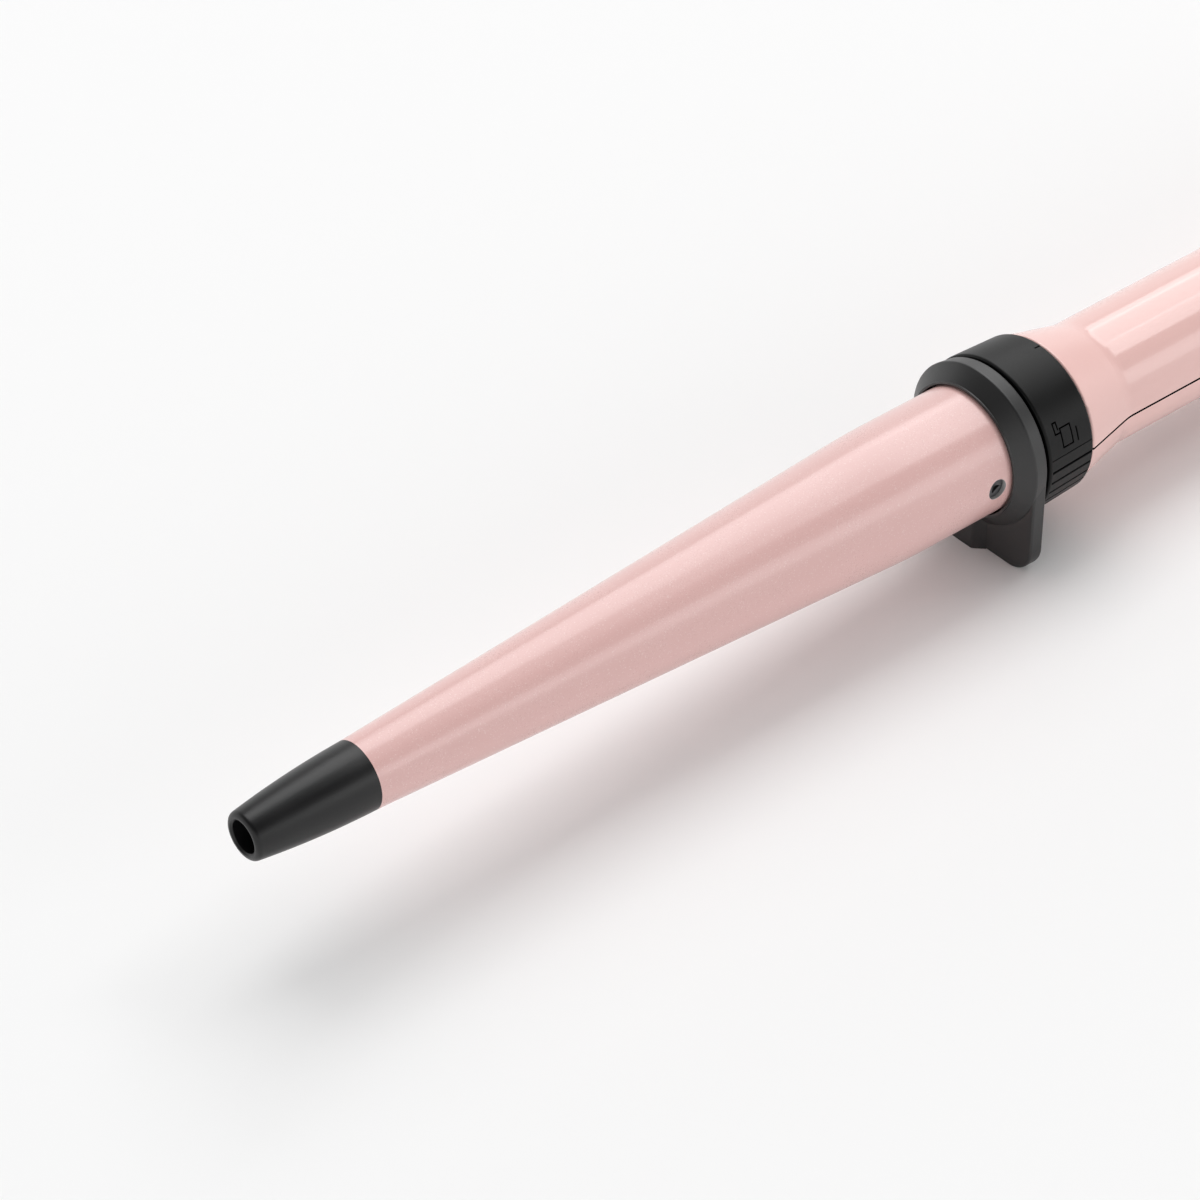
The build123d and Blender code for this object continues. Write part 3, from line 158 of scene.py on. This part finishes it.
class Finish:
    """A node tree under construction, for the finish of a piece, the floor or the world."""

    def __init__(self, owner):
        owner.use_nodes = True
        self.owner = owner
        self.tree = owner.node_tree
        self.tree.nodes.clear()

    def node(self, kind, settings=None, sockets=None, output=0):
        """Add a node: its settings first, then the values or links of its sockets."""
        node = self.tree.nodes.new(kind)
        for name, value in (settings or {}).items():
            setattr(node, name, value)
        for name, value in (sockets or {}).items():
            if isinstance(value, Field):
                self.tree.links.new(value.socket, node.inputs[name])
            else:
                node.inputs[name].default_value = value
        return Field(self, node.outputs[output]) if node.outputs else None

    def place(self):
        """Place on the piece, in metres."""
        return self.node("ShaderNodeTexCoord", output="Object")

    def along(self, direction, origin):
        """Distance of a place from an origin, measured along a direction."""
        kind = "ShaderNodeVectorMath"
        away = self.node(kind, {"operation": "SUBTRACT"}, {0: self.place(), 1: origin})
        return self.node(kind, {"operation": "DOT_PRODUCT"}, {0: away, 1: direction}, "Value")

    def off(self, direction, origin):
        """The same distance without its sign."""
        return (self.along(direction, origin) ** 2) ** 0.5

    def grain(self, size, detail=2.0):
        """Noise about 0.5 whose grains are about the given size."""
        sockets = {"Vector": self.place(), "Scale": 1 / size, "Detail": detail}
        return self.node("ShaderNodeTexNoise", {}, sockets)

    def flakes(self, size):
        """A random value from 0 to 1 for each flake of about the given size."""
        sockets = {"Vector": self.place(), "Scale": 1 / size}
        cells = self.node("ShaderNodeTexVoronoi", {}, sockets, "Color")
        return self.node("ShaderNodeSeparateColor", {}, {0: cells})

    def step(self, field, low, high):
        """Smooth step from 0 at the low value to 1 at the high one."""
        sockets = {"Value": field, "From Min": low, "From Max": high}
        return self.node("ShaderNodeMapRange", {"interpolation_type": "SMOOTHSTEP"}, sockets)

    def tint(self, share, first, second):
        """Colour between two colours; a Mix node's colour sockets have these places."""
        return self.node("ShaderNodeMix", {"data_type": "RGBA"}, {0: share, 6: first, 7: second}, 2)

    def bump(self, height, depth):
        """Normal of a surface whose height from 0 to 1 stands for this depth."""
        return self.node("ShaderNodeBump", {}, {"Height": height, "Distance": depth})

    def shader(self, **sockets):
        """Principled shader with these sockets."""
        named = {name.replace("_", " "): value for name, value in sockets.items()}
        return self.node("ShaderNodeBsdfPrincipled", {}, named)

    def blend(self, share, first, second):
        """Shader between two shaders."""
        return self.node("ShaderNodeMixShader", {}, {0: share, 1: first, 2: second})

    def end(self, shader):
        """End a material in a shader."""
        self.node("ShaderNodeOutputMaterial", {}, {"Surface": shader})
        return self.owner

    def surface(self, **sockets):
        """End a material in a Principled shader with these sockets."""
        return self.end(self.shader(**sockets))


def new_finish(name):
    return Finish(bpy.data.materials.new(name))


def darker(colour, share):
    """A colour at a share of its level."""
    return tuple(share * channel for channel in colour[:3]) + (1,)


# Finishes of the outside
def pearl_coat():
    """Satin pearl lacquer with fine flakes; the walls of the screw holes are bare metal."""
    f = new_finish("pearl_coat")
    hole = WAND @ Vector((SCREW_ALONG, 0, 0))
    across = (f.along(REAR, hole) ** 2 + f.along(UP, hole) ** 2) ** 0.5
    bare = 1 - f.step(across, SCREW_HOLE_R + EDGE_BLUR, SCREW_HOLE_R + 2 * EDGE_BLUR)
    flake = f.flakes(0.16 * MM)
    sparkle = f.step(flake, 0.90, 1.0)
    cloud = f.grain(9 * MM, 3)
    coat = f.tint(sparkle * 0.55 + 0.10 * cloud, PINK_COAT, PINK_FLAKE)
    peel = f.grain(0.9 * MM) + 0.35 * flake
    return f.surface(
        Base_Color=f.tint(bare, coat, BARE_METAL),
        Metallic=bare * 0.2,
        Roughness=0.30 + 0.10 * flake - 0.06 * cloud,
        Specular_IOR_Level=0.5,
        Coat_Weight=0.55 * (1 - bare),
        Coat_Roughness=0.16,
        Normal=f.bump(peel, 0.004 * MM),
    )


def ring_groove_shade(f):
    """Share of painted shade in the ring's grooves: 1 well below its tapered surface, 0 on it and at its
    rounded ends.
    """
    along = f.along(REAR, WAND.translation)
    from_axis = (f.along(FAR, WAND.translation) ** 2 + f.along(UP, WAND.translation) ** 2) ** 0.5
    depth = RING_R - (along - RING_FRONT) * RING_TAPER - from_axis
    from_middle = f.off(REAR, WAND @ Vector((RING_MIDDLE, 0, 0)))
    plain_end = f.step(from_middle, RING_HALF - RING_EDGE, RING_HALF)
    return f.step(depth, GROOVE_SHADE_START, GROOVE_SHADE_FULL) * (1 - plain_end)


def satin_black(name, shade, roughness, gloss, groove_shade=None):
    """Moulded black plastic with a fine texture and a faint bloom; where a groove mask is given, painted
    shade makes the grooves dull and without reflection.
    """
    f = new_finish(name)
    texture = f.grain(0.22 * MM, 4)
    bloom = f.grain(11 * MM, 3)
    deep, worn = ((level, level, 1.06 * level, 1) for level in (shade, 1.8 * shade))
    satin = f.shader(
        Base_Color=f.tint(f.step(bloom, 0.35, 0.75) * 0.6 + 0.3 * texture, deep, worn),
        Roughness=roughness + 0.10 * texture + 0.06 * bloom,
        Specular_IOR_Level=gloss,
        Normal=f.bump(texture, 0.014 * MM),
    )
    if groove_shade is None:
        return f.end(satin)
    # painted shade: down in the grooves the finish loses its reflection, standing in for the shade there
    dull_shade = f.shader(Base_Color=deep, Roughness=0.8, Specular_IOR_Level=0.0)
    return f.end(f.blend(groove_shade(f), satin, dull_shade))


def gloss_pink():
    """Glossy pink moulding with a slight flow pattern; painted shade darkens the walls of its joint line
    and of its switch slot.
    """
    f = new_finish("gloss_pink")
    flow = f.grain(24 * MM, 3)
    ripple = f.grain(3.5 * MM, 1)
    speck = f.flakes(0.25 * MM)
    # painted shade: the pink walls of the joint line and the switch slot are coloured near black, standing
    # in for the shade down in them
    seam_shade = 1 - f.step(f.off(UP, WAND.translation), SEAM_HALF, SEAM_HALF + EDGE_BLUR / 2)
    slot_shade = f.step(f.along(UP, WAND.translation), SLOT_FLOOR - EDGE_BLUR, SLOT_FLOOR)
    for direction, half in ((REAR, SLOT_HALF_LENGTH), (FAR, SLOT_HALF_WIDTH)):
        beside = f.off(direction, WAND @ Vector((SLOT_ALONG, 0, 0)))
        slot_shade = slot_shade * (1 - f.step(beside, half + EDGE_BLUR, half + 2 * EDGE_BLUR))
    pink = f.tint(0.10 * flow + 0.12 * f.step(speck, 0.9, 1.0), PINK_SHELL, PINK_FLAKE)
    return f.surface(
        Base_Color=f.tint(seam_shade + slot_shade, pink, SEAM_SHADE_DARK),
        Roughness=0.15 + 0.05 * flow,
        Specular_IOR_Level=0.5,
        Coat_Weight=0.35,
        Coat_Roughness=0.05,
        Normal=f.bump(ripple, 0.008 * MM),
    )


def plain_metal(name, colour, roughness):
    """Bare or plated metal with fine tool marks."""
    f = new_finish(name)
    marks = f.grain(0.3 * MM, 3)
    stain = f.grain(5 * MM)
    return f.surface(
        Base_Color=f.tint(0.6 * stain, colour, darker(colour, 0.72)),
        Metallic=1.0,
        Roughness=roughness + 0.16 * marks,
        Normal=f.bump(marks, 0.006 * MM),
    )


# Finishes of the inside
def plain_moulding(name, colour, roughness):
    """Moulded, sintered or printed surface with a fine grain."""
    f = new_finish(name)
    grain = f.grain(0.3 * MM, 3)
    cloud = f.grain(6 * MM)
    return f.surface(
        Base_Color=f.tint(0.7 * cloud, colour, darker(colour, 0.75)),
        Roughness=roughness + 0.15 * grain,
        Normal=f.bump(grain, 0.012 * MM),
    )


def clear_red(name):
    """Tinted clear plastic, slightly cloudy."""
    f = new_finish(name)
    cloud = f.grain(0.8 * MM)
    return f.surface(
        Base_Color=f.tint(0.5 * cloud, RED_LIGHT, RED_DEEP),
        Roughness=0.10 + 0.08 * cloud,
        Transmission_Weight=0.35,
        IOR=1.49,
    )


def braided_sleeve():
    """Glass fibre sleeve: two sets of threads that cross."""
    f = new_finish("braided_sleeve")
    settings = {"wave_type": "BANDS", "bands_direction": "DIAGONAL", "wave_profile": "TRI"}
    threads = []
    for scale in BRAID_SCALES:
        sockets = {"Vector": f.place(), "Scale": scale, "Distortion": 1.5}
        threads.append(f.node("ShaderNodeTexWave", settings, sockets, "Fac"))
    weave = threads[0] * threads[1]
    return f.surface(
        Base_Color=f.tint(weave, THREAD_DARK, THREAD_PALE),
        Roughness=0.6 + 0.2 * weave,
        Normal=f.bump(weave, 0.05 * MM),
    )


def green_board():
    """Solder mask over copper tracks, which run along the board."""
    f = new_finish("green_board")
    tracks = f.node(
        "ShaderNodeTexWave",
        {"wave_type": "BANDS", "bands_direction": "Y", "wave_profile": "SIN"},
        {"Vector": f.place(), "Scale": TRACK_SCALE, "Distortion": 2.0, "Detail": 1.0, "Detail Scale": 0.4},
        "Fac",
    )
    track = f.step(tracks, 0.55, 0.65)
    return f.surface(
        Base_Color=f.tint(track, BOARD_GREEN, TRACK_GREEN),
        Roughness=0.28 + 0.2 * f.grain(1.2 * MM),
        Normal=f.bump(track, 0.03 * MM),
    )


def dress(finish, *nodes):
    """Give CAD nodes a finish."""
    for node in nodes:
        mesh = frame["nodes"][node].data
        mesh.materials.clear()
        mesh.materials.append(finish)


dress(pearl_coat(), "barrel")
dress(gloss_pink(), "upper_shell", "lower_shell")
dress(satin_black("tip_black", shade=0.005, roughness=0.28, gloss=0.42), "cool_tip")
dress(satin_black("collar_black", shade=0.005, roughness=0.34, gloss=0.72),
      "stand_collar", "end_collar", "swivel_gland")
# the ring's grooves and engraved padlock get painted shade
dress(satin_black("ring_black", shade=0.002, roughness=0.33, gloss=0.23, groove_shade=ring_groove_shade), "lock_ring")
dress(satin_black("switch_black", shade=0.002, roughness=0.33, gloss=0.23),
      "switch_slider", "switch_bezel")
dress(plain_metal("dark_screw", (0.13, 0.13, 0.135, 1), roughness=0.36), "barrel_screws")
dress(plain_metal("zinc_screw", (0.55, 0.55, 0.57, 1), roughness=0.30),
      "tip_screw", "plug_screws", "shell_screws", "board_screws")
dress(plain_metal("extruded_aluminium", (0.72, 0.72, 0.73, 1), roughness=0.34),
      "tip_anchor", "heat_spreader_upper", "heat_spreader_lower")
dress(plain_metal("bright_brass", (0.74, 0.55, 0.24, 1), roughness=0.22),
      "electrode_strips", "contact_pins", "contact_sleeves", "slip_rings", "slip_brushes")
dress(plain_moulding("sintered_ceramic", (0.55, 0.52, 0.48, 1), roughness=0.7), "ptc_stones")
dress(plain_moulding("amber_film", (0.52, 0.24, 0.03, 1), roughness=0.2), "insulating_film")
dress(plain_moulding("sensor_glass", (0.42, 0.25, 0.12, 1), roughness=0.12),
      "thermal_fuse", "temperature_sensor")
dress(plain_moulding("grey_insulator", (0.24, 0.24, 0.25, 1), roughness=0.45),
      "head_plug", "socket_sleeve", "socket_block", "power_switch", "switch_nib")
dress(plain_moulding("board_part", (0.06, 0.06, 0.065, 1), roughness=0.4), "board_components")
dress(braided_sleeve(), "heater_lead", "socket_wires")
dress(green_board(), "circuit_board")
dress(clear_red("lamp_red"), "indicator_lamp")
dress(clear_red("lens_red"), "indicator_lens")


# Switch marks
def subdivide(path, closed):
    """More points on the straight stretches of a path."""
    ends = path[1:] + path[:1] if closed else path[1:]
    points = []
    for start, end in zip(path, ends):
        count = ceil((end - start).length / MARK_STEP)
        points += [start.lerp(end, k / count) for k in range(count)]
    return points if closed else points + path[-1:]


def add_stroke(mesh, path, closed):
    """Raised line on the grip. The path is flat: along the wand, and round it from the grip's top."""
    path = subdivide(path, closed)
    count = len(path)
    rows = []
    for k, point in enumerate(path):
        before = path[k - 1] if closed or k else point
        after = path[(k + 1) % count] if closed or k + 1 < count else point
        heading = (after - before).normalized()
        aside = Vector((-heading.y, heading.x)) * MARK_WIDTH / 2
        row = []
        for side, lift in ((1, -MARK_ROOT), (1, MARK_PROUD), (-1, MARK_PROUD), (-1, -MARK_ROOT)):
            spot = point + side * aside
            turn = pi / 2 + spot.y / GRIP_R
            radius = GRIP_R + lift
            row.append(mesh.verts.new(WAND @ Vector((spot.x, radius * cos(turn), radius * sin(turn)))))
        rows.append(row)
    pairs = zip(rows, rows[1:] + rows[:1]) if closed else zip(rows, rows[1:])
    for first, second in pairs:
        for k in range(len(first)):
            following = (k + 1) % len(first)
            mesh.faces.new((first[k], first[following], second[following], second[k]))
    if not closed:
        mesh.faces.new(rows[0])
        mesh.faces.new(rows[-1][::-1])


def circle(centre, radius, count):
    """Points of a circle in a flat path."""
    turns = [2 * pi * k / count for k in range(count)]
    return [centre + radius * Vector((cos(turn), sin(turn))) for turn in turns]


def add_switch_marks():
    """0, I and II beside the three places of the slide."""
    mesh = bmesh.new()
    add_stroke(mesh, circle(Vector((MARK_ALONG, MARK_ASIDE)), MARK_HALF, ZERO_POINTS), True)
    for bars in (1, 2):
        along = MARK_ALONG - bars * MARK_PITCH
        for k in range(bars):
            aside = MARK_ASIDE + BAR_PITCH * (k - (bars - 1) / 2)
            add_stroke(mesh, [Vector((along + end * MARK_HALF, aside)) for end in (-1, 1)], False)
    bmesh.ops.recalc_face_normals(mesh, faces=mesh.faces)
    data = bpy.data.meshes.new("switch_marks")
    mesh.to_mesh(data)
    mesh.free()
    data.materials.append(plain_moulding("pale_print", (0.70, 0.70, 0.70, 1), roughness=0.5))
    marks = bpy.data.objects.new("switch_marks", data)
    bpy.context.scene.collection.objects.link(marks)
    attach(marks, "handle")


add_switch_marks()


# Camera
def add_camera():
    camera = bpy.data.objects.new("camera", bpy.data.cameras.new("camera"))
    camera.data.lens = CAMERA_LENS
    camera.data.sensor_width = CAMERA_SENSOR
    camera.data.clip_end = CAMERA_REACH
    look = (CAMERA_TARGET - CAMERA_AT).to_track_quat("-Z", "Y").to_matrix().to_4x4()
    camera.matrix_world = WAND @ Matrix.Translation(CAMERA_AT) @ look
    bpy.context.scene.collection.objects.link(camera)
    bpy.context.scene.camera = camera


# Studio
def add_softbox(name, towards, size, radiance):
    light = bpy.data.lights.new(name, "AREA")
    light.shape = "RECTANGLE"
    light.size, light.size_y = size
    light.energy = radiance * pi * size[0] * size[1]
    box = bpy.data.objects.new(name, light)
    facing = towards.normalized()
    across = facing.cross(REAR).normalized()
    box.matrix_world = Matrix((across.cross(facing), across, facing)).transposed().to_4x4()
    box.location = facing * SOFTBOX_REACH
    bpy.context.scene.collection.objects.link(box)


def add_floor():
    mesh = bpy.data.meshes.new("floor")
    corners = [(x * FLOOR_HALF, y * FLOOR_HALF, 0) for x, y in ((-1, -1), (1, -1), (1, 1), (-1, 1))]
    mesh.from_pydata(corners, [], [(0, 1, 2, 3)])
    floor = bpy.data.objects.new("floor", mesh)
    bpy.context.scene.collection.objects.link(floor)
    f = new_finish("white_floor")
    mesh.materials.append(f.surface(Base_Color=FLOOR_WHITE, Roughness=0.9, Specular_IOR_Level=0.0))


def set_world():
    """White backdrop all round, and above it a ceiling that gloss sees dark."""
    world = bpy.data.worlds.new("studio")
    bpy.context.scene.world = world
    f = Finish(world)
    direction = f.node("ShaderNodeTexCoord", output="Generated")
    height = f.node("ShaderNodeSeparateXYZ", {}, {0: direction}, "Z")
    ceiling = f.step(height, WALL_TOP, CEILING_START)
    soft = f.node("ShaderNodeLightPath", output="Is Diffuse Ray")
    white, dark, fill = (
        f.node("ShaderNodeBackground", {}, {"Color": WHITE, "Strength": level})
        for level in (WALL_LEVEL, CEILING_LEVEL, CEILING_FILL)
    )
    room = f.blend(ceiling, white, f.blend(soft, dark, fill))
    f.node("ShaderNodeOutputWorld", {}, {"Surface": room})


add_camera()
add_floor()
set_world()
for name, (towards, size, radiance) in SOFTBOXES.items():
    add_softbox(name, towards, size, radiance)
bpy.context.scene.view_settings.view_transform = "Standard"
